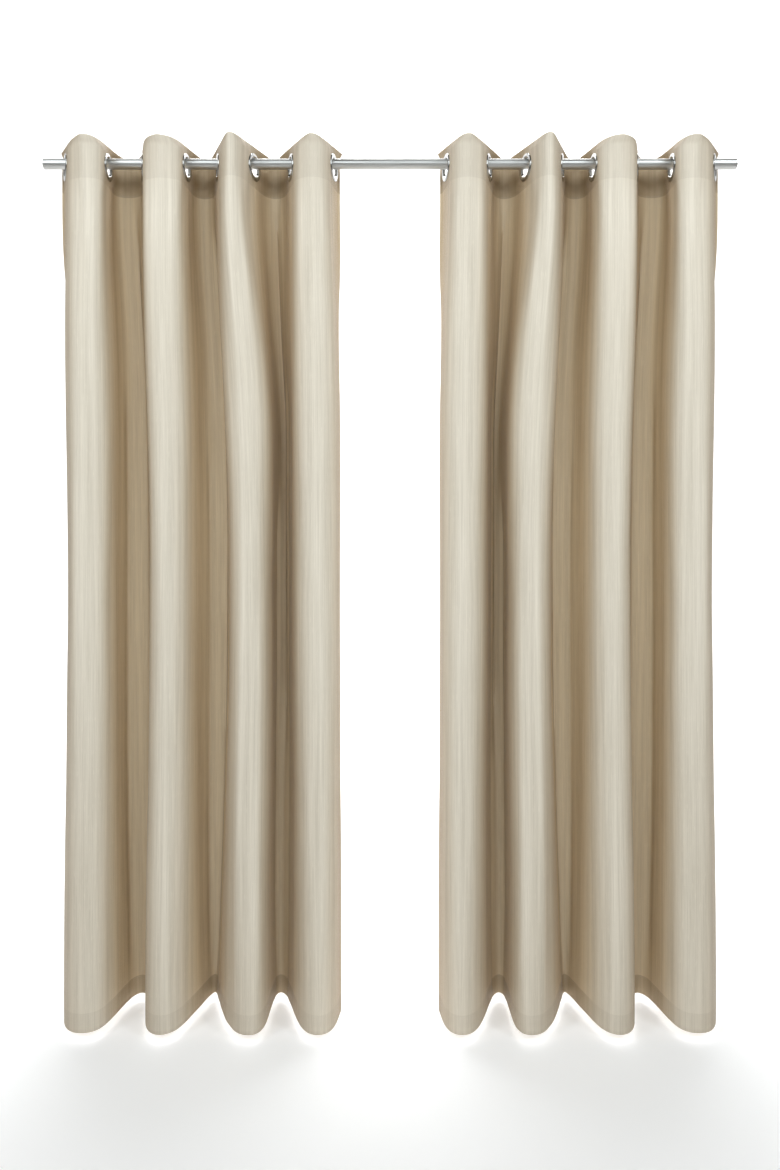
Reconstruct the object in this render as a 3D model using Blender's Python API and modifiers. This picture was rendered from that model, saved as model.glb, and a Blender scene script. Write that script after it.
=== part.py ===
"""A pair of eyelet curtains hung on a plain metal rod, each piece as its own object.

Metres. +X runs along the rod, +Y goes from the room to the window, +Z is up. The origin is on the rod's
axis, half way along. Eyelets and folds are numbered from a panel's outer edge to its leading edge.
"""

from math import cos, pi, radians, sin

import bmesh
import bpy
from mathutils import Matrix, Vector

# the cloth of one panel, laid flat
FLAT_WIDTH = 1.397
DROP = 2.134
CLOTH = 0.002

# the rod and its plugs
ROD_RADIUS = 0.0127
ROD_WALL = 0.0013
ROD_BEYOND = 0.053  # from the outermost eyelet to the rod's end
PLUG_LENGTH = 0.022
PLUG_FACE = 0.003
PLUG_SKIRT = 0.002

# the eyelets
EYELETS = 8
BORE_PLAY = 0.0093  # how much wider the bore's radius is than the rod's
LIP_WIDTH = 0.0110
LIP_HEIGHT = 0.0026
BARREL_WALL = 0.0012
BACK_HEIGHT = 0.0022

# where the eyelets sit in the cloth
TOP_MARGIN = 0.0170
HEADING_BELOW = 0.0165  # from an eyelet's rim to the bottom of the heading
EDGE_BEYOND = 0.0120  # from an eyelet's rim to the panel's side edge

# how the cloth is gathered
FULLNESS = 1.985  # width of cloth for each width of rod
LEADING_X = 0.139  # from the middle of the rod to each leading eyelet
GAP_SHARES = (1.10, 0.92, 1.13, 0.83, 0.94, 0.97, 1.11)  # of the mean distance between eyelets
FLANK_LEANS = (28, -4, 18, 3, 18, 15, 19, 11)  # degrees from square to the rod
FREE_LEANS = (18, 5, 12, 11, 20, 3, 18, 6)  # the same, well below the heading
MIDDLE_DRIFTS = (0.10, 0.15, 0.20, 0.17, 0.32, 0.38, 0.09, 0.10)  # of the mean distance, half way down
HEM_DRIFTS = (0.05, 0.18, 0.10, 0.16, 0.18, 0.35, 0.12, 0.15)  # of the mean distance, at the hem
FREE_FLAT = 0.012  # half the straight part of a flank, well below the heading
SETTLING = 0.45  # from the heading down to where the cloth hangs freely
EDGE_TURN = 40  # degrees that a side edge curls outwards at the heading
FREE_EDGE_TURN = -25  # the same, well below the heading, where it curls inwards
EDGE_ROOM = 0.001  # flat cloth beyond an eyelet's rim

CLEARANCE = 0.0003
HANG_GAP = 0.0005  # over the rod, in the bore of an eyelet that stands square to it
FOLD_GAP = 0.0005  # between neighbouring folds of one panel
ROUND_STEPS = 24
EYELET_STEPS = 20
CREST_STEPS = 4  # in each half of a crest
EDGE_STEPS = 3
ROWS_BELOW = (0.07, 0.16, 0.28, 0.42, 0.58, 0.76, 0.94, 1.0)  # of the cloth below the heading

APOTHEM = cos(pi / EYELET_STEPS)
BORE_RADIUS = ROD_RADIUS + BORE_PLAY
EYELET_RADIUS = BORE_RADIUS + LIP_WIDTH
BARREL_RADIUS = BORE_RADIUS + BARREL_WALL
HOLE_RADIUS = (BARREL_RADIUS + CLEARANCE) / APOTHEM
EYELET_Z = -(BORE_RADIUS * APOTHEM - ROD_RADIUS - HANG_GAP)
TOP_Z = EYELET_Z + EYELET_RADIUS + TOP_MARGIN
HEADING_Z = EYELET_Z - EYELET_RADIUS - HEADING_BELOW
HEM_Z = TOP_Z - DROP
EDGE_MARGIN = EYELET_RADIUS + EDGE_BEYOND
SPACING = (FLAT_WIDTH - 2 * EDGE_MARGIN) / (EYELETS - 1)
PITCH = SPACING / FULLNESS
HEADING_FLAT = EYELET_RADIUS + EDGE_ROOM
ROD_LENGTH = 2 * (LEADING_X + PITCH * sum(GAP_SHARES) + ROD_BEYOND)

SIDES = {"left": 1, "right": -1}
FINISHES = {
    "rod_metal": ((0.56, 0.56, 0.55), 0.32, 1.0),
    "plug_plastic": ((0.30, 0.30, 0.30), 0.55, 0.0),
    "eyelet_metal": ((0.72, 0.72, 0.71), 0.20, 1.0),
    "eyelet_back_metal": ((0.66, 0.66, 0.65), 0.28, 1.0),
    "curtain_cloth": ((0.72, 0.66, 0.54), 0.80, 0.0),
}


def clear_scene():
    for item in list(bpy.data.objects):
        bpy.data.objects.remove(item, do_unlink=True)


def new_collection(name):
    collection = bpy.data.collections.new(name)
    bpy.context.scene.collection.children.link(collection)
    return collection


def finish(name):
    """One sub-part's own material, from its kind of finish."""

    def make(kind):
        colour, roughness, metallic = FINISHES[kind]
        material = bpy.data.materials.new(name)
        material.use_nodes = True
        shader = material.node_tree.nodes["Principled BSDF"]
        shader.inputs["Base Color"].default_value = (*colour, 1.0)
        shader.inputs["Roughness"].default_value = roughness
        shader.inputs["Metallic"].default_value = metallic
        return material

    return make


def add_object(name, mesh, kind, collection):
    piece = bpy.data.objects.new(name, mesh)
    collection.objects.link(piece)
    piece.data.materials.append(finish(name)(kind))
    return piece


def profile_mesh(name, points):
    """A closed outline in the XZ plane, to be turned round Z. It runs down its outer side."""
    mesh = bpy.data.meshes.new(name)
    edges = [(i, (i + 1) % len(points)) for i in range(len(points))]
    mesh.from_pydata([(r, 0.0, h) for r, h in points], edges, [])
    return mesh


def turn(piece, steps):
    screw = piece.modifiers.new("turned", "SCREW")
    screw.steps = steps
    screw.render_steps = steps
    screw.use_merge_vertices = True
    screw.merge_threshold = 0.00001
    screw.use_smooth_shade = True


# ---------------------------------------------------------------- rod and plugs


def rod_outline():
    half = ROD_LENGTH / 2
    inner = ROD_RADIUS - ROD_WALL
    return [(inner, half), (ROD_RADIUS, half), (ROD_RADIUS, -half), (inner, -half)]


def plug_outline():
    """A cup: a face flush with the tube's end, and a skirt that goes into it."""
    radius = (ROD_RADIUS - ROD_WALL) * cos(pi / ROUND_STEPS) - CLEARANCE
    hollow = radius - PLUG_SKIRT
    return [
        (0.0, 0.0),
        (radius, 0.0),
        (radius, -PLUG_LENGTH),
        (hollow, -PLUG_LENGTH),
        (hollow, -PLUG_FACE),
        (0.0, -PLUG_FACE),
    ]


def open_outline_mesh(name, points):
    """An outline that begins and ends on the axis."""
    mesh = bpy.data.meshes.new(name)
    edges = [(i, i + 1) for i in range(len(points) - 1)]
    mesh.from_pydata([(r, 0.0, h) for r, h in points], edges, [])
    return mesh


def build_rod(collection):
    rod = add_object("rod_tube", profile_mesh("rod_outline", rod_outline()), "rod_metal", collection)
    rod.rotation_euler = (0.0, pi / 2, 0.0)
    turn(rod, ROUND_STEPS)
    for side, sign in SIDES.items():
        mesh = open_outline_mesh(f"plug_outline_{side}", plug_outline())
        plug = add_object(f"end_plug_{side}", mesh, "plug_plastic", collection)
        plug.location = (-sign * ROD_LENGTH / 2, 0.0, 0.0)
        plug.rotation_euler = (0.0, -sign * pi / 2, 0.0)
        turn(plug, ROUND_STEPS)


# ---------------------------------------------------------------- the run of the cloth


def smooth(t):
    t = min(max(t, 0.0), 1.0)
    return t * t * (3 - 2 * t)


def mix(a, b, t):
    return a + (b - a) * t


def eyelet_x(k):
    """Eyelet k of the left panel, counted from 0 at the outer edge."""
    return -(LEADING_X + PITCH * sum(GAP_SHARES[k:]))


class Flank:
    """The straight stretch of cloth between a front crest and a back crest, at one height."""

    def __init__(self, k, z):
        below = (HEADING_Z - z) / (HEADING_Z - HEM_Z)
        free = smooth((HEADING_Z - z) / SETTLING)
        drift = mix(0.0, MIDDLE_DRIFTS[k], smooth(below * 2))
        if below > 0.5:
            drift = mix(MIDDLE_DRIFTS[k], HEM_DRIFTS[k], smooth(below * 2 - 1))
        lean = radians(mix(FLANK_LEANS[k], FREE_LEANS[k], free))
        half = mix(HEADING_FLAT, FREE_FLAT, free)
        to_front = 1 if k % 2 == 0 else -1
        self.edge_turn = mix(EDGE_TURN, FREE_EDGE_TURN, free)
        self.along = Vector((sin(lean), -to_front * cos(lean)))  # the way the cloth runs, outer to leading
        self.centre = Vector((eyelet_x(k) + drift * PITCH, 0.0))
        self.half = half
        self.start = self.centre - self.along * half
        self.end = self.centre + self.along * half


def crest_point(a, b, reach, t):
    """A point of the cubic that leaves flank a, goes round the crest and runs into flank b, and its heading."""
    p = (a.end, a.end + a.along * reach, b.start - b.along * reach, b.start)
    u = 1 - t
    point = p[0] * u**3 + p[1] * 3 * t * u * u + p[2] * 3 * t * t * u + p[3] * t**3
    heading = (p[1] - p[0]) * u * u + (p[2] - p[1]) * 2 * t * u + (p[3] - p[2]) * t * t
    return point, heading


def crest_length(a, b, reach):
    steps = 24
    points = [crest_point(a, b, reach, i / steps)[0] for i in range(steps + 1)]
    return sum((q - p).length for p, q in zip(points, points[1:]))


def crest_reach(a, b):
    """How far the crest's handles reach, so that the cloth between two eyelets keeps its flat length."""
    wanted = SPACING - a.half - b.half
    low, high = 0.0, SPACING
    for _ in range(40):
        middle = (low + high) / 2
        if crest_length(a, b, middle) < wanted:
            low = middle
        else:
            high = middle
    return high


def half_crest(a, b, second):
    """Points along one half of a crest, ending or starting half a gap from its top."""
    reach = crest_reach(a, b)
    speed = 3 * crest_point(a, b, reach, 0.5)[1].length
    trim = FOLD_GAP / 2 / speed
    first, last = (0.5 + trim, 1.0) if second else (0.0, 0.5 - trim)
    return [crest_point(a, b, reach, mix(first, last, i / CREST_STEPS)) for i in range(CREST_STEPS + 1)]


def side_edge(flank, outer):
    """The few points between a flank's end and the panel's side edge, curled out of line with the flank."""
    step = (EDGE_MARGIN - flank.half) / EDGE_STEPS
    way = -flank.along if outer else flank.along.copy()
    place = flank.start if outer else flank.end
    turned = radians(flank.edge_turn / EDGE_STEPS) * (1 if outer else -1)
    points = [(place, flank.along)]
    for _ in range(EDGE_STEPS):
        way = Matrix.Rotation(turned, 2) @ way
        place = place + way * step
        points.append((place, -way if outer else way))
    return points[::-1] if outer else points


def fold_section(k, z):
    """Fold k of the left panel at one height, from crest to crest, or to the panel's edge."""
    flanks = {j: Flank(j, z) for j in (k - 1, k, k + 1) if 0 <= j < EYELETS}
    here = flanks[k]
    before = half_crest(flanks[k - 1], here, True) if k > 0 else side_edge(here, True)
    after = half_crest(here, flanks[k + 1], False) if k < EYELETS - 1 else side_edge(here, False)
    return before + after


def panel_offset(z):
    """How far the cloth hangs from the rod's axis at one height, so that its weight is under the rod."""
    moment = 0.0
    length = 0.0
    for k in range(EYELETS):
        points = [point for point, _ in fold_section(k, z)]
        for p, q in zip(points, points[1:]):
            moment += (p.y + q.y) / 2 * (q - p).length
            length += (q - p).length
    return -moment / length * smooth((HEADING_Z - z) / SETTLING)


def row_heights():
    return [TOP_Z, HEADING_Z] + [mix(HEADING_Z, HEM_Z, share) for share in ROWS_BELOW]


# ---------------------------------------------------------------- folds of cloth


def fold_outline(k, z, offset, sign):
    """The two faces of the cloth at one height, as (room side, window side) pairs of corners."""
    pairs = []
    for point, heading in fold_section(k, z):
        out = Vector((heading.y, -heading.x)).normalized() * CLOTH / 2
        pairs.append([Vector((sign * p.x, p.y + offset, z)) for p in (point + out, point - out)])
    return pairs


def fold_mesh(name, k, sign, offsets):
    """One fold as a closed solid, lofted down its rows. Its ends are square to the cloth."""
    solid = bmesh.new()
    rows = []
    for z, offset in offsets.items():
        rows.append([[solid.verts.new(p) for p in pair] for pair in fold_outline(k, z, offset, sign)])

    def face(*corners):
        solid.faces.new(corners if sign > 0 else corners[::-1])

    last = len(rows[0]) - 1
    for upper, lower in zip(rows, rows[1:]):
        for i in range(last):
            face(upper[i][0], lower[i][0], lower[i + 1][0], upper[i + 1][0])
            face(upper[i + 1][1], lower[i + 1][1], lower[i][1], upper[i][1])
        face(upper[0][1], lower[0][1], lower[0][0], upper[0][0])
        face(upper[last][0], lower[last][0], lower[last][1], upper[last][1])
    top, hem = rows[0], rows[-1]
    for i in range(last):
        face(top[i][0], top[i + 1][0], top[i + 1][1], top[i][1])
        face(hem[i][1], hem[i + 1][1], hem[i + 1][0], hem[i][0])
    mesh = bpy.data.meshes.new(name)
    solid.to_mesh(mesh)
    solid.free()
    return mesh


def build_fold(side, k, offsets, collection, cutters):
    name = f"{side}_fold_{k + 1}"
    fold = add_object(name, fold_mesh(name, k, SIDES[side], offsets), "curtain_cloth", collection)
    hole = fold.modifiers.new("eyelet_hole", "BOOLEAN")
    hole.operation = "DIFFERENCE"
    hole.object = hole_cutter(side, k, cutters)


def hole_cutter(side, k, cutters):
    cutter_mesh = bpy.data.meshes.new(f"{side}_hole_{k + 1}")
    solid = bmesh.new()
    bmesh.ops.create_cone(
        solid,
        cap_ends=True,
        segments=EYELET_STEPS,
        radius1=HOLE_RADIUS,
        radius2=HOLE_RADIUS,
        depth=8 * CLOTH,
    )
    solid.to_mesh(cutter_mesh)
    solid.free()
    cutter = bpy.data.objects.new(f"{side}_hole_{k + 1}", cutter_mesh)
    cutters.objects.link(cutter)
    cutter.matrix_world = eyelet_frame(side, k)
    cutter.hide_render = True
    cutter.display_type = "WIRE"
    return cutter


# ---------------------------------------------------------------- eyelets


def eyelet_frame(side, k):
    """Places an eyelet: its own Z points out of the face of the cloth, its middle is in the cloth."""
    sign = SIDES[side]
    flank = Flank(k, TOP_Z)
    along = Vector((sign * flank.along.x, flank.along.y, 0.0))
    up = Vector((0.0, 0.0, 1.0))
    outwards = up.cross(along) * -sign
    across = up.cross(outwards)
    frame = Matrix((across, up, outwards)).transposed().to_4x4()
    frame.translation = Vector((sign * flank.centre.x, 0.0, EYELET_Z))
    return frame


def front_outline():
    """The front half: a domed lip on the cloth, and the barrel that goes through the hole."""
    seat = CLOTH / 2 + CLEARANCE
    crown = seat + LIP_HEIGHT
    barrel_end = -(seat + BACK_HEIGHT)
    return [
        (BORE_RADIUS, seat + LIP_HEIGHT * 0.5),
        (BORE_RADIUS + LIP_WIDTH * 0.16, crown - LIP_HEIGHT * 0.08),
        (BORE_RADIUS + LIP_WIDTH * 0.48, crown),
        (EYELET_RADIUS - LIP_WIDTH * 0.12, seat + LIP_HEIGHT * 0.62),
        (EYELET_RADIUS, seat),
        (BARREL_RADIUS, seat),
        (BARREL_RADIUS, barrel_end),
        (BORE_RADIUS, barrel_end),
    ]


def back_outline():
    """The back half: a washer with a sloping face, clipped over the barrel."""
    seat = -(CLOTH / 2 + CLEARANCE)
    inner = (BARREL_RADIUS + CLEARANCE) / APOTHEM
    return [
        (inner, seat),
        (EYELET_RADIUS - CLEARANCE, seat),
        (EYELET_RADIUS - LIP_WIDTH * 0.15, seat - BACK_HEIGHT * 0.7),
        (inner, seat - BACK_HEIGHT),
    ]


def build_eyelet(side, k, outlines, collection):
    kinds = {"front": "eyelet_metal", "back": "eyelet_back_metal"}
    for half, outline in outlines.items():
        name = f"{side}_eyelet_{k + 1}_{half}"
        piece = add_object(name, profile_mesh(name, outline), kinds[half], collection)
        piece.matrix_world = eyelet_frame(side, k)
        turn(piece, EYELET_STEPS)


def main():
    clear_scene()
    collection = new_collection("eyelet_curtains")
    cutters = new_collection("cutters")
    build_rod(collection)
    outlines = {"front": front_outline(), "back": back_outline()}
    offsets = {z: panel_offset(z) for z in row_heights()}
    for side in SIDES:
        for k in range(EYELETS):
            build_fold(side, k, offsets, collection, cutters)
            build_eyelet(side, k, outlines, collection)


main()
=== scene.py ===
"""Shows a pair of eyelet curtains on a metal rod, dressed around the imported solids.

Each panel is one sheet of cloth that follows the wave its eyelets set up. It is turned over at the heading
and the hem, hemmed down its sides and stitched. Lengths are metres: +X along the rod, +Y towards the window,
+Z up.
"""

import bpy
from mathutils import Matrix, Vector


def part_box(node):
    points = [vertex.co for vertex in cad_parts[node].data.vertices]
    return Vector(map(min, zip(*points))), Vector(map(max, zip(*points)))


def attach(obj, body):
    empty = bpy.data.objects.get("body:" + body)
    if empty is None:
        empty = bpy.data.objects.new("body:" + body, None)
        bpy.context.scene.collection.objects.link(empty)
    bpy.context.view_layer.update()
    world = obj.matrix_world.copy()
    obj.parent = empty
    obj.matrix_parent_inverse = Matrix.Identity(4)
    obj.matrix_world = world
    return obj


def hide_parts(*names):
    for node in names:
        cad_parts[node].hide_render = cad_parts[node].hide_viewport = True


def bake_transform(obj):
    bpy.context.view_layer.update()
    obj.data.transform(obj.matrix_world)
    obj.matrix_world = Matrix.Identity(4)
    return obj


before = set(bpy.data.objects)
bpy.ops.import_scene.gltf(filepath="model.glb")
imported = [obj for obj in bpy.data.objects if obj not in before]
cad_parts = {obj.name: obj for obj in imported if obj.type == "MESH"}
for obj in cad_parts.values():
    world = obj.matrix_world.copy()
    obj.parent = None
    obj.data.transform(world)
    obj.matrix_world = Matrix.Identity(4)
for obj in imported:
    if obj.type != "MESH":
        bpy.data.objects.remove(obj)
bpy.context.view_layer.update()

import logging
import math
from dataclasses import dataclass, field
from enum import Enum
from typing import Iterable

import bmesh
import bpy
import numpy as np
from mathutils import Matrix, Vector

LOG = logging.getLogger("curtains")
Array = np.ndarray
Point = tuple[float, float, float]
Colour = tuple[float, float, float]


class Side(Enum):
    """Which panel a piece belongs to. The value turns the left panel's places into this panel's."""

    LEFT = 1
    RIGHT = -1

    @property
    def word(self) -> str:
        """The side's name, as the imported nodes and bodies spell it."""
        return self.name.lower()


class Half(Enum):
    """The two pressed halves of an eyelet."""

    FRONT = "front"
    BACK = "back"


def smooth(t: Array | float) -> Array:
    """A step from 0 to 1 that starts and ends gently."""
    t = np.clip(t, 0.0, 1.0)
    return t * t * (3 - 2 * t)


def mix(a: Array | float, b: Array | float, t: Array | float) -> Array | float:
    """The value a share t of the way from a to b."""
    return a + (b - a) * t


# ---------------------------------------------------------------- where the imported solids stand


@dataclass(frozen=True)
class Layout:
    """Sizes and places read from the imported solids, for the left panel; the right one mirrors them."""

    rod_radius: float
    rod_half: float
    plug_radius: float
    plug_length: float
    top: float
    hem: float
    eyelet_z: float
    eyelet_radius: float
    eyelet_x: tuple[float, ...]

    @classmethod
    def read(cls) -> "Layout":
        """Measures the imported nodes.

        Returns:
            The layout of the rod, the eyelets and the cloth.
        """
        rod_low, rod_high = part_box("rod_tube")
        plug_low, plug_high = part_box("end_plug_right")
        cloth_low, cloth_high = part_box("left_fold_1")
        ring_low, ring_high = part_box("left_eyelet_1_front")
        centres = []
        k = 1
        while f"left_eyelet_{k}_front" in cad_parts:
            front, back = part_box(f"left_eyelet_{k}_front"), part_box(f"left_eyelet_{k}_back")
            centres.append((min(front[0][0], back[0][0]) + max(front[1][0], back[1][0])) / 2)
            k += 1
        return cls(
            rod_radius=(rod_high[2] - rod_low[2]) / 2,
            rod_half=rod_high[0],
            plug_radius=(plug_high[2] - plug_low[2]) / 2,
            plug_length=plug_high[0] - plug_low[0],
            top=cloth_high[2],
            hem=cloth_low[2],
            eyelet_z=(ring_low[2] + ring_high[2]) / 2,
            eyelet_radius=(ring_high[2] - ring_low[2]) / 2,
            eyelet_x=tuple(centres),
        )


@dataclass(frozen=True)
class Cut:
    """How a panel is cut and sewn."""

    width: float = 1.397
    thickness: float = 0.0009
    heading: float = 0.0995  # depth of the turned-over cloth
    hem: float = 0.046
    side_hem: float = 0.026
    eyelet_to_edge: float = 0.012  # from an outer eyelet's rim to the side edge
    layer_gap: float = 0.0001
    hole_margin: float = 0.0016  # how much wider the cloth's hole is than the eyelet's bore

    @property
    def layer_offset(self) -> float:
        """How far a layer of doubled cloth lies from the middle of the two."""
        return (self.thickness + self.layer_gap) / 2

    def edge_margin(self, layout: Layout) -> float:
        """From a side edge to the first eyelet's middle, along the cloth."""
        return layout.eyelet_radius + self.eyelet_to_edge

    def spacing(self, layout: Layout) -> float:
        """From one eyelet's middle to the next, along the cloth."""
        return (self.width - 2 * self.edge_margin(layout)) / (len(layout.eyelet_x) - 1)


# ---------------------------------------------------------------- the run of the cloth


@dataclass(frozen=True)
class Hang:
    """How a panel hangs.

    Each set of eight has a number for each straight flank that carries an eyelet, from the outer edge to the
    leading edge. Leans are degrees from square to the rod. Drifts run along the rod, in shares of the pitch.
    Each pair of boxes says how squarely the front folds and the back folds fill their corners.
    """

    leans: tuple[float, ...] = (28, -4, 18, 3, 18, 15, 19, 11)  # at the eyelets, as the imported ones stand
    top_leans: tuple[float, ...] = (36, 8, 21, 15, 25, 23, 32, 24)
    free_leans: tuple[float, ...] = (18, 5, 12, 11, 13, 3, 18, 6)
    hem_leans: tuple[float, ...] = (20, 17, 13, 21, 25, 3, 20, 11)
    middle_drifts: tuple[float, ...] = (0.08, 0.15, 0.20, 0.17, 0.33, 0.46, 0.09, 0.14)
    hem_drifts: tuple[float, ...] = (-0.02, 0.18, 0.10, 0.16, 0.18, 0.38, 0.12, 0.16)
    drift_paces: tuple[float, float] = (2.2, 3.2)  # how early even and odd flanks reach their middle drift
    hem_start: float = 0.6  # where the hem's leans set in, as a share of the way down
    pitch: float = 0.0934
    free_flat: float = 0.012  # half a flank's straight length where the cloth hangs free
    top_shortening: float = 0.3  # the share that a flank loses at the top edge
    settling: float = 0.45  # how far below the heading the cloth hangs free
    softening: float = 0.10
    softening_start: float = 0.02  # how far above the heading's seam the softening starts
    edge_turn: float = 40.0  # degrees that a side edge curls, at the eyelets
    free_edge_turn: float = -25.0
    top_edge_turn: float = 0.0
    top_edge_reach: float = 0.04
    edge_room: float = 0.001
    heading_boxes: tuple[float, float] = (1.1, 2.4)
    upper_boxes: tuple[float, float] = (4.4, 2.4)
    free_boxes: tuple[float, float] = (2.2, 3.6)
    forward: float = 0.004  # how far the settled cloth's weight hangs into the room


@dataclass(frozen=True)
class Ridge:
    """A soft pleat line that runs down the cloth between two eyelets."""

    gap: int  # which gap between eyelets, from 0 at the outer edge
    offset: float  # from the middle of that gap
    height: float
    width: float
    start: float = 0.10  # start and end are distances below the top
    end: float = 2.2
    wander: float = 0.0  # sideways, for each metre down


RIDGES = (
    Ridge(gap=0, offset=-0.020, height=0.0016, width=0.012, start=0.05),
    Ridge(gap=1, offset=0.016, height=-0.0097, width=0.009, start=0.10, wander=0.006),
    Ridge(gap=1, offset=-0.026, height=-0.0059, width=0.010, start=0.55),
    Ridge(gap=1, offset=0.042, height=-0.0046, width=0.007, start=1.0),
    Ridge(gap=2, offset=0.018, height=0.0018, width=0.011, start=0.08),
    Ridge(gap=3, offset=0.020, height=-0.0104, width=0.009, start=0.14, wander=-0.008),
    Ridge(gap=3, offset=-0.016, height=-0.0059, width=0.008, start=0.7),
    Ridge(gap=3, offset=0.046, height=-0.0052, width=0.008, start=1.1),
    Ridge(gap=4, offset=-0.014, height=0.0026, width=0.010, start=0.10, wander=-0.01),
    Ridge(gap=4, offset=0.020, height=0.0026, width=0.012, start=0.3, wander=0.012),
    Ridge(gap=5, offset=0.002, height=-0.0104, width=0.006, start=0.09, end=1.6, wander=0.004),
    Ridge(gap=5, offset=0.024, height=-0.0065, width=0.007, start=0.5),
    Ridge(gap=5, offset=-0.022, height=-0.0072, width=0.007, start=0.8),
    Ridge(gap=6, offset=0.012, height=0.0015, width=0.013, start=0.05),
)


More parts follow.
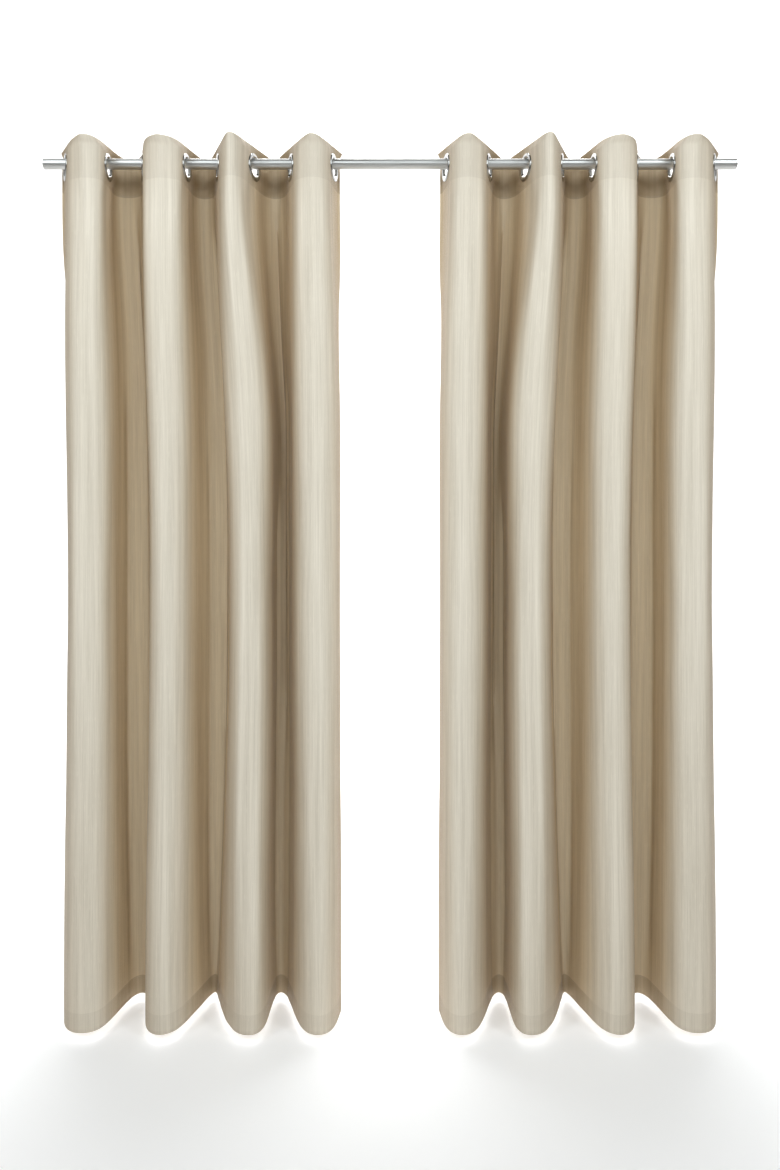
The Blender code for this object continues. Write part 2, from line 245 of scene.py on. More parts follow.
class Drape:
    """The surface that a panel's cloth follows, as a place for each point of the flat cloth."""

    LEVELS = 96
    SAMPLES = 900
    CURVE = 44
    EDGE_STEPS = 6
    HALVINGS = 30

    def __init__(self, layout: Layout, cut: Cut, hang: Hang) -> None:
        """Works the surface out once, at set heights.

        Args:
            layout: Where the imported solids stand.
            cut: How the panel is cut.
            hang: How it hangs.
        """
        self.layout, self.cut, self.hang = layout, cut, hang
        self.margin = cut.edge_margin(layout)
        self.spacing = cut.spacing(layout)
        self.drop = layout.top - layout.hem
        share = np.linspace(0.0, 1.0, self.LEVELS)
        self.levels = self.drop * (0.35 * share + 0.65 * share**2.2)
        self.along = np.linspace(0.0, cut.width, self.SAMPLES)
        table = [self._section(layout.top - down) for down in self.levels]
        self.places = np.array([row[0] for row in table])
        self.headings = np.array([row[1] for row in table])

    def _flanks(self, z: float) -> tuple[Array, Array, Array]:
        """The straight stretches at one height.

        Args:
            z: The height.

        Returns:
            Each flank's middle, its unit heading from outer to leading edge, and half its length.
        """
        layout, hang = self.layout, self.hang
        heading_z = layout.top - self.cut.heading
        rim = layout.eyelet_z + layout.eyelet_radius
        below = (heading_z - z) / (heading_z - layout.hem)
        free = float(smooth((heading_z - z) / hang.settling))
        above = float(smooth((z - rim) / (layout.top - rim)))
        middle, hem = np.array(hang.middle_drifts), np.array(hang.hem_drifts)
        even = np.arange(len(middle)) % 2 == 0
        pace = np.where(even, *hang.drift_paces)
        drift = middle * smooth(below * pace) if below < 0.5 else mix(middle, hem, smooth(below * 2 - 1))
        lean = mix(np.array(hang.leans, float), np.array(hang.free_leans, float), free)
        lean = mix(lean, np.array(hang.top_leans, float), above)
        near_hem = float(smooth((below - hang.hem_start) / (1 - hang.hem_start)))
        lean = np.radians(mix(lean, np.array(hang.hem_leans, float), near_hem))
        half = mix(layout.eyelet_radius + hang.edge_room, hang.free_flat, free)
        half *= 1 - hang.top_shortening * above
        to_front = np.where(even, 1.0, -1.0)
        heading = np.stack([np.sin(lean), -to_front * np.cos(lean)], axis=1)
        centre = np.stack([np.array(layout.eyelet_x) + drift * hang.pitch, np.zeros(len(lean))], axis=1)
        return centre, heading, np.full(len(lean), half)

    def _crests(
        self, start: Array, leave: Array, end: Array, enter: Array, wanted: Array, box: Array
    ) -> Array:
        """The curved cloth between flanks, each of the length that it was cut to.

        Args:
            start: Where each crest leaves its first flank.
            leave: The heading there.
            end: Where it joins the next flank.
            enter: The heading there.
            wanted: How long each crest is.
            box: How squarely each crest fills its corners, 1 for a plain curve.

        Returns:
            Points along each crest.
        """
        t = np.linspace(0.0, 1.0, self.CURVE)[None, :, None]
        u = 1 - t
        corner = box[:, None, None]
        share = u**3 + 3 * corner * t * u + t**3

        def run(reach: Array) -> Array:
            """Points along each crest, whose handles reach this far.

            Args:
                reach: How far each crest runs on towards its corners.

            Returns:
                The points.
            """
            first = start + leave * reach[:, None]
            second = end - enter * reach[:, None]
            points = start[:, None] * u**3 + first[:, None] * 3 * corner * t * u * u
            return (points + second[:, None] * 3 * corner * t * t * u + end[:, None] * t**3) / share

        low, high = np.zeros(len(wanted)), np.full(len(wanted), self.spacing)
        for _ in range(self.HALVINGS):
            middle = (low + high) / 2
            length = np.linalg.norm(np.diff(run(middle), axis=1), axis=2).sum(axis=1)
            short = length < wanted
            low = np.where(short, middle, low)
            high = np.where(short, high, middle)
        return run(high)

    def _edge(self, place: Array, way: Array, length: float, turn: float) -> list[Array]:
        """The last of the cloth at a side edge, curled out of line with the flank.

        Args:
            place: Where the flank ends.
            way: Its unit heading there.
            length: How much cloth is left.
            turn: How far the cloth curls, in degrees.

        Returns:
            Points along it.
        """
        points = []
        angle = math.radians(turn) / self.EDGE_STEPS
        spin = np.array([[math.cos(angle), -math.sin(angle)], [math.sin(angle), math.cos(angle)]])
        for _ in range(self.EDGE_STEPS):
            way = spin @ way
            place = place + way * length / self.EDGE_STEPS
            points.append(place)
        return points

    def _section(self, z: float) -> tuple[Array, Array]:
        """The cloth's run at one height.

        Args:
            z: The height.

        Returns:
            Places and headings at even steps along the cloth.
        """
        hang = self.hang
        centre, heading, half = self._flanks(z)
        start, end = centre - heading * half[:, None], centre + heading * half[:, None]
        wanted = self.spacing - half[:-1] - half[1:]
        down = self.layout.top - self.cut.heading - z
        settled = float(smooth(down / hang.settling))
        soft = float(smooth((down + hang.softening_start) / hang.softening))
        upper = [mix(a, b, soft) for a, b in zip(hang.heading_boxes, hang.upper_boxes)]
        front, back = (mix(a, b, settled) for a, b in zip(upper, hang.free_boxes))
        boxes = np.where(np.arange(len(wanted)) % 2 == 0, front, back)
        turn = mix(hang.edge_turn, hang.free_edge_turn, settled)
        turn = mix(turn, hang.top_edge_turn, float(smooth((z - self.layout.eyelet_z) / hang.top_edge_reach)))
        crests = self._crests(end[:-1], heading[:-1], start[1:], heading[1:], wanted, boxes)
        outer = self._edge(start[0], -heading[0], self.margin - half[0], turn)
        leading = self._edge(end[-1], heading[-1], self.margin - half[-1], -turn)
        points = outer[::-1] + [start[0]]
        for crest in crests:
            points.extend(crest)
        points = np.array(points + [end[-1]] + leading)
        steps = np.linalg.norm(np.diff(points, axis=0), axis=1)
        length = np.concatenate([[0.0], np.cumsum(steps)])
        weight_y = ((points[1:, 1] + points[:-1, 1]) / 2 * steps).sum() / steps.sum()
        points[:, 1] -= (weight_y + hang.forward) * settled
        at = self.along * (length[-1] / self.cut.width)
        places = np.stack([np.interp(at, length, points[:, i]) for i in (0, 1)], axis=1)
        headings = np.gradient(places, self.along, axis=0)
        headings /= np.linalg.norm(headings, axis=1)[:, None]
        return places, headings

    def at(self, u: Array, down: Array) -> tuple[Array, Array]:
        """Looks the surface up.

        Args:
            u: Distances along the cloth from its outer edge.
            down: Distances below the top.

        Returns:
            Places in plan, and headings in plan.
        """
        i = np.clip(np.searchsorted(self.levels, down, side="right") - 1, 0, self.LEVELS - 2)
        t = np.clip((down - self.levels[i]) / (self.levels[i + 1] - self.levels[i]), 0, 1)[:, None]
        step = self.along[1]
        j = np.clip((u / step).astype(int), 0, self.SAMPLES - 2)
        s = np.clip(u / step - j, 0, 1)[:, None]

        def read(table: Array) -> Array:
            """A table's value at each point.

            Args:
                table: Values at each level and each step along the cloth.

            Returns:
                The values between them.
            """
            upper = table[i, j] * (1 - s) + table[i, j + 1] * s
            lower = table[i + 1, j] * (1 - s) + table[i + 1, j + 1] * s
            return upper * (1 - t) + lower * t

        places, headings = read(self.places), read(self.headings)
        return places, headings / np.linalg.norm(headings, axis=1)[:, None]

    def eyelet_along(self, k: int) -> float:
        """Where eyelet k's middle is along the cloth, counted from 0."""
        return self.margin + k * self.spacing

    def crest_along(self, k: int) -> float:
        """Where the fold after eyelet k has its middle along the cloth."""
        return self.eyelet_along(k) + self.spacing / 2


class Slack:
    """The small unevenness of hung cloth, out of its smooth run and towards the room."""

    NOISES = ((0.060, 0.55, 0.0016), (0.030, 0.40, 0.0007), (0.019, 0.90, 0.00045), (0.110, 0.22, 0.0008))
    STIFF_SHARE = 0.25  # how uneven the heading is, beside the loose cloth
    LOOSENING = 0.25
    RIDGE_FADES = (0.16, 0.30)
    PINCHES = (0.0032, -0.0005)  # the creases down the front folds and the back folds
    PINCH_WIDTH = 0.011
    PINCH_FADE = (0.05, 0.20)  # where the creases start to fade, and over what length
    TUG = 0.0012  # the pull line under each eyelet
    TUG_WIDTH = 0.012
    TUG_FADES = (0.03, 0.35)
    RIM_FADE = 0.016
    FLANK_FADE = 0.08

    def __init__(self, drape: Drape, ridges: Iterable[Ridge], seed: int) -> None:
        """Keeps the drape that it belongs to.

        Args:
            drape: The panel's smooth surface.
            ridges: Its pleat lines.
            seed: Starts its random numbers.
        """
        self.drape = drape
        self.ridges = tuple(ridges)
        self.random = np.random.default_rng(seed)
        self.sheets = [self._noise_sheet(*noise) for noise in self.NOISES]

    def _noise_sheet(self, wide: float, tall: float, height: float) -> tuple[Array, float, float, float]:
        """Random heights on a grid of cells of the given size.

        Args:
            wide: A cell's size along the cloth.
            tall: Its size down the cloth.
            height: The most that it stands out.

        Returns:
            The grid, and the three sizes.
        """
        across = int(self.drape.cut.width / wide) + 4
        down = int(self.drape.drop / tall) + 4
        return self.random.uniform(-1, 1, (down, across)), wide, tall, height

    @staticmethod
    def _read(sheet: tuple[Array, float, float, float], u: Array, down: Array) -> Array:
        """A sheet's height at each point, smooth between its cells.

        Args:
            sheet: The grid and its sizes.
            u: Distances along the cloth.
            down: Distances below the top.

        Returns:
            Heights in metres.
        """
        values, wide, tall, height = sheet
        a, b = u / wide + 1, down / tall + 1
        i = np.clip(b.astype(int), 0, values.shape[0] - 2)
        j = np.clip(a.astype(int), 0, values.shape[1] - 2)
        s, t = smooth(a - j), smooth(b - i)
        upper = values[i, j] * (1 - s) + values[i, j + 1] * s
        lower = values[i + 1, j] * (1 - s) + values[i + 1, j + 1] * s
        return height * (upper * (1 - t) + lower * t)

    def at(self, u: Array, down: Array) -> Array:
        """How far the cloth stands out of its smooth run.

        Args:
            u: Distances along the cloth.
            down: Distances below the top.

        Returns:
            Heights towards the room, in metres.
        """
        drape, count = self.drape, len(self.drape.layout.eyelet_x)
        below = down - drape.cut.heading
        out = sum(self._read(sheet, u, down) for sheet in self.sheets)
        out = out * mix(self.STIFF_SHARE, 1.0, smooth(below / self.LOOSENING))
        for ridge in self.ridges:
            middle = drape.crest_along(ridge.gap) + ridge.offset + ridge.wander * (down - 1.0)
            fade_in, fade_out = self.RIDGE_FADES
            run = smooth((down - ridge.start) / fade_in) * smooth((ridge.end - down) / fade_out)
            out = out + ridge.height * np.exp(-(((u - middle) / ridge.width) ** 2)) * run
        stiff = 1 - smooth((down - self.PINCH_FADE[0]) / self.PINCH_FADE[1])
        for k in range(count - 1):
            crease = np.exp(-np.abs(u - drape.crest_along(k)) / self.PINCH_WIDTH)
            out = out + self.PINCHES[k % 2] * crease * stiff
        flat = np.zeros_like(u)
        fade_in, fade_out = self.TUG_FADES
        tugged = smooth(below / fade_in) * (1 - smooth(below / fade_out))
        for k in range(count):
            near = np.abs(u - drape.eyelet_along(k))
            flat = np.maximum(flat, 1 - smooth((near - drape.layout.eyelet_radius) / self.RIM_FADE))
            tug = np.exp(-((near / self.TUG_WIDTH) ** 2)) * tugged
            out = out + self.TUG * tug * (1 if k % 2 else -1)
        held = flat * (1 - smooth(below / self.FLANK_FADE))
        return out * (1 - held)


# ---------------------------------------------------------------- making and placing meshes


def link(name: str, mesh: bpy.types.Mesh) -> bpy.types.Object:
    """Puts a mesh into the scene as a piece of its own.

    Args:
        name: The piece's name.
        mesh: Its mesh.

    Returns:
        The piece.
    """
    piece = bpy.data.objects.new(name, mesh)
    bpy.context.scene.collection.objects.link(piece)
    return piece


def mesh_from(solid: bmesh.types.BMesh, name: str) -> bpy.types.Mesh:
    """Turns a bmesh into a mesh and frees it.

    Args:
        solid: The bmesh.
        name: The mesh's name.

    Returns:
        The mesh.
    """
    mesh = bpy.data.meshes.new(name)
    solid.to_mesh(mesh)
    solid.free()
    return mesh


def shade(mesh: bpy.types.Mesh, degrees: float = 40.0) -> None:
    """Shades a mesh smooth, with sharp edges where its faces meet at more than an angle."""
    mesh.shade_smooth()
    mesh.set_sharp_from_angle(angle=math.radians(degrees))


def turned(
    name: str, outline: list[tuple[float, float]], steps: int, place: Matrix, closed: bool = True
) -> bpy.types.Object:
    """A turned piece.

    Args:
        name: The piece's name.
        outline: Radius and height of each corner, down the outer side first.
        steps: Sides of the round.
        place: Takes the turning axis, Z, to where the piece stands.
        closed: Whether the outline runs back to its start; an open one begins and ends on the axis.

    Returns:
        The piece, in place, facing outwards.
    """
    solid = bmesh.new()
    corners = [solid.verts.new((radius, 0.0, height)) for radius, height in outline]
    pairs = list(zip(corners, corners[1:])) + ([(corners[-1], corners[0])] if closed else [])
    edges = [solid.edges.new(pair) for pair in pairs]
    bmesh.ops.spin(
        solid,
        geom=corners + edges,
        axis=(0, 0, 1),
        cent=(0, 0, 0),
        steps=steps,
        angle=2 * math.pi,
        use_merge=True,
    )
    bmesh.ops.remove_doubles(solid, verts=solid.verts, dist=1e-6)
    bmesh.ops.recalc_face_normals(solid, faces=solid.faces)
    solid.transform(place)
    mesh = mesh_from(solid, name)
    shade(mesh)
    return link(name, mesh)


def rounded(
    corners: list[tuple[float, float]], radii: list[float], steps: int = 4
) -> list[tuple[float, float]]:
    """Rounds the corners of a closed outline.

    Args:
        corners: The outline's corners, in order.
        radii: How much of each side a corner's round takes.
        steps: Points on each round.

    Returns:
        The outline with its rounds.
    """
    points = []
    count = len(corners)
    for i, radius in enumerate(radii):
        here = Vector(corners[i])
        if radius <= 0:
            points.append(tuple(here))
            continue
        before = here + (Vector(corners[i - 1]) - here).normalized() * radius
        after = here + (Vector(corners[(i + 1) % count]) - here).normalized() * radius
        for s in range(steps + 1):
            t = s / steps
            points.append(tuple(before * (1 - t) ** 2 + here * 2 * t * (1 - t) + after * t**2))
    return points


# ---------------------------------------------------------------- shader node groups


class Graph:
    """A short way to write a node tree."""

    def __init__(self, tree: bpy.types.NodeTree) -> None:
        """Wraps a node tree."""
        self.tree = tree

    def node(self, kind: str, **values: object) -> bpy.types.Node:
        """Adds a node.

        Args:
            kind: The node's type.
            values: Its properties, or with a leading in_ the values or links of its inputs.

        Returns:
            The node.
        """
        node = self.tree.nodes.new(kind)
        for key, value in values.items():
            if key.startswith("in_"):
                self.feed(node.inputs[key[3:].replace("_", " ")], value)
            else:
                setattr(node, key, value)
        return node

    def feed(self, socket: bpy.types.NodeSocket, value: object) -> None:
        """Links a socket, or sets its value.

        Args:
            socket: The input socket.
            value: An output socket, or a plain value.
        """
        if isinstance(value, bpy.types.NodeSocket):
            self.tree.links.new(value, socket)
        else:
            socket.default_value = value

    def maths(self, operation: str, *inputs: object, clamp: bool = False) -> bpy.types.NodeSocket:
        """A Math node's result.

        Args:
            operation: What it does.
            inputs: Its inputs' values or links.
            clamp: Whether the result is kept between 0 and 1.

        Returns:
            Its output.
        """
        node = self.tree.nodes.new("ShaderNodeMath")
        node.operation = operation
        node.use_clamp = clamp
        for socket, value in zip(node.inputs, inputs):
            self.feed(socket, value)
        return node.outputs[0]

    def stretch(self, vector: object, scale: tuple[float, float, float]) -> bpy.types.NodeSocket:
        """A vector scaled along its axes.

        Args:
            vector: The vector.
            scale: The factor along each axis.

        Returns:
            The node's output.
        """
        node = self.node("ShaderNodeMapping")
        self.feed(node.inputs["Vector"], vector)
        node.inputs["Scale"].default_value = scale
        return node.outputs[0]

    def noise(
        self, vector: object, scale: float, detail: float = 2.0, rough: float = 0.5
    ) -> bpy.types.NodeSocket:
        """A noise texture's value.

        Args:
            vector: Where it is read.
            scale: How many features to a unit.
            detail: How many finer layers it has.
            rough: How strong each finer layer is.

        Returns:
            The node's output.
        """
        node = self.node("ShaderNodeTexNoise")
        self.feed(node.inputs["Vector"], vector)
        node.inputs["Scale"].default_value = scale
        node.inputs["Detail"].default_value = detail
        node.inputs["Roughness"].default_value = rough
        return node.outputs[0]

    def spread(
        self, value: object, low: float, high: float, to_low: float = 0.0, to_high: float = 1.0
    ) -> bpy.types.NodeSocket:
        """A value moved from one range to another, and kept in it.

        Args:
            value: The value.
            low: The start of its range.
            high: The end of its range.
            to_low: The start of the new range.
            to_high: The end of the new range.

        Returns:
            The node's output.
        """
        node = self.node("ShaderNodeMapRange")
        self.feed(node.inputs["Value"], value)
        for name, number in (("From Min", low), ("From Max", high), ("To Min", to_low), ("To Max", to_high)):
            node.inputs[name].default_value = number
        return node.outputs[0]

    def blend(self, share: object, a: object, b: object, how: str = "MIX") -> bpy.types.NodeSocket:
        """Two colours mixed.

        Args:
            share: How much of the second shows.
            a: The first.
            b: The second.
            how: The blend mode.

        Returns:
            The node's output.
        """
        node = self.node("ShaderNodeMix", data_type="RGBA", blend_type=how)
        self.feed(node.inputs[0], share)
        self.feed(node.inputs[6], a)
        self.feed(node.inputs[7], b)
        return node.outputs[2]

    def group(self, group: bpy.types.NodeTree, **values: object) -> bpy.types.Node:
        """Adds a node group with its input values.

        Args:
            group: The group.
            values: Its inputs' values or links, by name.

        Returns:
            The group's node.
        """
        node = self.tree.nodes.new("ShaderNodeGroup")
        node.node_tree = group
        for key, value in values.items():
            self.feed(node.inputs[key.replace("_", " ")], value)
        return node


def new_group(
    name: str, inputs: dict[str, tuple[str, object]], outputs: Iterable[str]
) -> tuple[Graph, bpy.types.Node, bpy.types.Node]:
    """Starts a shader node group.

    Args:
        name: The group's name.
        inputs: Each input's kind of socket and its default.
        outputs: The names of its values.

    Returns:
        Its graph, its input node and its output node.
    """
    tree = bpy.data.node_groups.new(name, "ShaderNodeTree")
    for label, (kind, default) in inputs.items():
        socket = tree.interface.new_socket(name=label, in_out="INPUT", socket_type=kind)
        if default is not None:
            socket.default_value = default
    for label in outputs:
        tree.interface.new_socket(name=label, in_out="OUTPUT", socket_type="NodeSocketFloat")
    graph = Graph(tree)
    return graph, graph.node("NodeGroupInput"), graph.node("NodeGroupOutput")


def make_weave() -> bpy.types.NodeTree:
    """Slubbed plain weave: long thick-and-thin yarns down the cloth, fine threads across it.

    Returns:
        A group that takes a place on the cloth in metres, and gives its streaks, slubs and height.
    """
    graph, given, result = new_group(
        "slubbed_weave",
        {"Place": ("NodeSocketVector", None), "Thread": ("NodeSocketFloat", 0.0009)},
        ("Streak", "Band", "Slub", "Height"),
    )
    place = given.outputs["Place"]
    streak = graph.noise(graph.stretch(place, (420.0, 5.5, 1.0)), 1.0, 3.0, 0.6)
    band = graph.noise(graph.stretch(place, (75.0, 1.3, 1.0)), 1.0, 2.0, 0.5)
    slub = graph.noise(graph.stretch(place, (620.0, 38.0, 1.0)), 1.0, 1.0, 0.4)
    cross = graph.noise(graph.stretch(place, (9.0, 560.0, 1.0)), 1.0, 2.0, 0.5)
    parts = graph.node("ShaderNodeSeparateXYZ", in_Vector=place)
    turns = graph.maths("DIVIDE", 2 * math.pi, given.outputs["Thread"])
    warp = graph.maths("SINE", graph.maths("MULTIPLY", parts.outputs[0], turns))
    weft = graph.maths("SINE", graph.maths("MULTIPLY", parts.outputs[1], turns))
    threads = graph.maths("MULTIPLY", warp, weft)
    fat = graph.spread(slub, 0.60, 0.78)
    height = graph.maths("ADD", graph.maths("MULTIPLY", threads, 0.30), graph.maths("MULTIPLY", streak, 1.3))
    height = graph.maths("ADD", height, graph.maths("MULTIPLY", fat, 1.1))
    height = graph.maths("ADD", height, graph.maths("MULTIPLY", cross, 0.5))
    graph.feed(result.inputs["Streak"], graph.spread(streak, 0.32, 0.68))
    graph.feed(result.inputs["Band"], graph.spread(band, 0.30, 0.70))
    graph.feed(result.inputs["Slub"], fat)
    graph.feed(result.inputs["Height"], height)
    return graph.tree


def make_drawn_lines() -> bpy.types.NodeTree:
    """Fine lines along a drawn or polished metal surface.

    Returns:
        A group that takes a place and a stretch along it, and gives the lines and some soft smudges.
    """
    graph, given, result = new_group(
        "drawn_lines",
        {"Place": ("NodeSocketVector", None), "Fineness": ("NodeSocketFloat", 1.0)},
        ("Lines", "Smudge"),
    )
    scaled = graph.node("ShaderNodeVectorMath", operation="SCALE")
    graph.feed(scaled.inputs[0], given.outputs["Place"])
    graph.feed(scaled.inputs["Scale"], given.outputs["Fineness"])
    lines = graph.noise(graph.stretch(scaled.outputs[0], (6.0, 1500.0, 1500.0)), 1.0, 3.0, 0.6)
    smudge = graph.noise(graph.stretch(scaled.outputs[0], (11.0, 40.0, 40.0)), 1.0, 2.0, 0.5)
    graph.feed(result.inputs["Lines"], graph.spread(lines, 0.30, 0.70))
    graph.feed(result.inputs["Smudge"], graph.spread(smudge, 0.35, 0.70))
    return graph.tree


def make_dust() -> bpy.types.NodeTree:
    """A thin film of dust that lies on what faces up, broken by noise.

    Returns:
        A group that takes a place, and gives how much dust lies there.
    """
    graph, given, result = new_group(
        "settled_dust",
        {"Place": ("NodeSocketVector", None), "Amount": ("NodeSocketFloat", 0.3)},
        ("Mask",),
    )
    geometry = graph.node("ShaderNodeNewGeometry")
    parts = graph.node("ShaderNodeSeparateXYZ", in_Vector=geometry.outputs["Normal"])
    facing = graph.spread(parts.outputs[2], 0.25, 1.0)
    speckle = graph.spread(graph.noise(given.outputs["Place"], 260.0, 4.0, 0.65), 0.38, 0.72)
    mask = graph.maths("MULTIPLY", facing, speckle)
    graph.feed(result.inputs["Mask"], graph.maths("MULTIPLY", mask, given.outputs["Amount"], clamp=True))
    return graph.tree


def make_edge_wear() -> bpy.types.NodeTree:
    """Edges rubbed a little brighter or barer, found from how sharply the surface turns.

    Returns:
        A group that takes a place, and gives a mask along worn edges.
    """
    graph, given, result = new_group(
        "edge_wear",
        {"Place": ("NodeSocketVector", None), "Amount": ("NodeSocketFloat", 0.5)},
        ("Mask",),
    )
    geometry = graph.node("ShaderNodeNewGeometry")
    edge = graph.spread(geometry.outputs["Pointiness"], 0.505, 0.56)
    broken = graph.spread(graph.noise(given.outputs["Place"], 420.0, 3.0, 0.6), 0.35, 0.65)
    mask = graph.maths("MULTIPLY", edge, broken)
    graph.feed(result.inputs["Mask"], graph.maths("MULTIPLY", mask, given.outputs["Amount"], clamp=True))
    return graph.tree


@dataclass
class Effects:
    """The node groups that the finishes share, each built once."""

    weave: bpy.types.NodeTree = field(default_factory=make_weave)
    lines: bpy.types.NodeTree = field(default_factory=make_drawn_lines)
    dust: bpy.types.NodeTree = field(default_factory=make_dust)
    wear: bpy.types.NodeTree = field(default_factory=make_edge_wear)


# ---------------------------------------------------------------- finishes


def tint(colour: Colour, factor: float = 1.0) -> tuple[float, ...]:
    """A colour made lighter or darker, with full alpha."""
    return (*(min(1.0, c * factor) for c in colour), 1.0)


def new_material(name: str) -> tuple[Graph, bpy.types.Material, bpy.types.Node]:
    """Starts a material with nodes.

    Args:
        name: The material's name.

    Returns:
        Its graph, the material and its Principled BSDF.
    """
    material = bpy.data.materials.new(name)
    material.use_nodes = True
    return Graph(material.node_tree), material, material.node_tree.nodes["Principled BSDF"]


def cover(
    graph: Graph, shader: bpy.types.Node, colour: object, rough: object, height: object, **bump: float
) -> None:
    """Gives a surface its colour, roughness and fine relief.

    Args:
        graph: The material's graph.
        shader: Its Principled BSDF.
        colour: The colour.
        rough: The roughness.
        height: The relief's height.
        bump: The bump node's distance and strength, as in_Distance and in_Strength.
    """
    graph.feed(shader.inputs["Base Color"], colour)
    graph.feed(shader.inputs["Roughness"], rough)
    graph.feed(shader.inputs["Normal"], graph.node("ShaderNodeBump", in_Height=height, **bump).outputs[0])


@dataclass(frozen=True)
class ClothFinish:
    """A silky slubbed cloth, with painted shade where it is doubled and lets less light from the room
    through, deep in its folds, and where it is seen edge-on.
    """

    name: str
    pale: Colour = (0.885, 0.807, 0.675)
    deep: Colour = (0.665, 0.59, 0.47)
    # painted shade: doubled cloth is darkened as it lets less light through, fully towards the window
    doubled: Colour = (0.74, 0.71, 0.68)
    recessed: Colour = (0.98, 0.90, 0.76)  # painted shade deep in a fold, warm as light that comes off other cloth
    edge_on: Colour = (0.43, 0.33, 0.21)  # painted shade where the surface is seen edge-on, partly the shade between the yarns
    edge_share: float = 0.85
    dust: Colour = (0.62, 0.60, 0.56)
    band_share: float = 0.58
    slub_share: float = 0.35
    slub_lift: float = 1.08
    roughness: float = 0.58
    rough_swing: float = 0.07
    sheen: float = 0.30
    sheen_tint: Colour = (1.0, 0.97, 0.92)
    relief: float = 0.00022
    thread: float = 0.0009

    def make(self, effects: Effects) -> bpy.types.Material:
        """Builds the material.

        Args:
            effects: The shared node groups.

        Returns:
            The material.
        """
        graph, material, shader = new_material(self.name)
        place = graph.node("ShaderNodeUVMap", uv_map="cloth").outputs[0]
        weave = graph.group(effects.weave, Place=place, Thread=self.thread).outputs
        tone = graph.maths("MULTIPLY", weave["Streak"], 1 - self.band_share)
        tone = graph.maths("ADD", tone, graph.maths("MULTIPLY", weave["Band"], self.band_share))
        colour = graph.blend(tone, tint(self.deep), tint(self.pale))
        slubbed = graph.maths("MULTIPLY", weave["Slub"], self.slub_share)
        colour = graph.blend(slubbed, colour, tint(self.pale, self.slub_lift))
        # Painted shade: the doubled cloth darker and greyer, and cloth deep in the folds darker and warmer.
        for attribute, shade_of in (("layers", self.doubled), ("depth", self.recessed)):
            share = graph.node("ShaderNodeAttribute", attribute_name=attribute).outputs["Fac"]
            colour = graph.blend(share, colour, tint(shade_of), "MULTIPLY")
        dust = graph.group(effects.dust, Place=place, Amount=0.25).outputs["Mask"]
        colour = graph.blend(dust, colour, tint(self.dust))
        # Painted shade: darker brown where the cloth is seen edge-on, as on the dark flanks of the folds.
        facing = graph.node("ShaderNodeLayerWeight", in_Blend=0.5).outputs["Facing"]
        grazing_shade_mask = graph.spread(facing, 0.12, 0.92, 0.0, self.edge_share)
        colour = graph.blend(grazing_shade_mask, colour, tint(self.edge_on), "MULTIPLY")
        dull, silky = self.roughness + self.rough_swing, self.roughness - self.rough_swing
        rough = graph.spread(weave["Streak"], 0.0, 1.0, dull, silky)
        cover(graph, shader, colour, rough, weave["Height"], in_Distance=self.relief, in_Strength=0.8)
        shader.inputs["Sheen Weight"].default_value = self.sheen
        shader.inputs["Sheen Roughness"].default_value = 0.35
        shader.inputs["Sheen Tint"].default_value = tint(self.sheen_tint)
        shader.inputs["Specular IOR Level"].default_value = 0.42
        return material


@dataclass(frozen=True)
class MetalFinish:
    """A drawn, plated or polished metal."""

    name: str
    colour: Colour
    roughness: float
    line_depth: float
    fineness: float = 1.0
    wear: float = 0.5
    dust: float = 0.3

    def make(self, effects: Effects) -> bpy.types.Material:
        """Builds the material.

        Args:
            effects: The shared node groups.

        Returns:
            The material.
        """
        graph, material, shader = new_material(self.name)
        place = graph.node("ShaderNodeTexCoord").outputs["Object"]
        drawn = graph.group(effects.lines, Place=place, Fineness=self.fineness).outputs
        wear = graph.group(effects.wear, Place=place, Amount=self.wear).outputs["Mask"]
        dust = graph.group(effects.dust, Place=place, Amount=self.dust).outputs["Mask"]
        colour = graph.blend(drawn["Lines"], tint(self.colour, 0.86), tint(self.colour))
        colour = graph.blend(wear, colour, tint(self.colour, 1.16))
        colour = graph.blend(dust, colour, tint((0.55, 0.54, 0.52)))
        rough = graph.spread(drawn["Smudge"], 0.0, 1.0, self.roughness * 0.85, self.roughness * 1.25)
        rough = graph.maths("ADD", rough, graph.maths("MULTIPLY", dust, 0.35), clamp=True)
        cover(graph, shader, colour, rough, drawn["Lines"], in_Distance=self.line_depth, in_Strength=0.6)
        graph.feed(shader.inputs["Metallic"], graph.spread(dust, 0.0, 1.0, 1.0, 0.4))
        return material


@dataclass(frozen=True)
class PlasticFinish:
    """A fine-grained moulded plastic."""

    name: str
    colour: Colour
    roughness: float = 0.5

    def make(self, effects: Effects) -> bpy.types.Material:
        """Builds the material.

        Args:
            effects: The shared node groups.

        Returns:
            The material.
        """
        graph, material, shader = new_material(self.name)
        place = graph.node("ShaderNodeTexCoord").outputs["Object"]
        grain = graph.noise(place, 1900.0, 3.0, 0.55)
        wear = graph.group(effects.wear, Place=place, Amount=0.6).outputs["Mask"]
        dust = graph.group(effects.dust, Place=place, Amount=0.4).outputs["Mask"]
        colour = graph.blend(grain, tint(self.colour, 0.88), tint(self.colour))
        colour = graph.blend(wear, colour, tint(self.colour, 1.5))
        colour = graph.blend(dust, colour, tint((0.5, 0.49, 0.47)))
        rough = graph.spread(grain, 0.3, 0.7, self.roughness - 0.06, self.roughness + 0.08)
        cover(graph, shader, colour, rough, grain, in_Distance=0.00006, in_Strength=0.7)
        return material


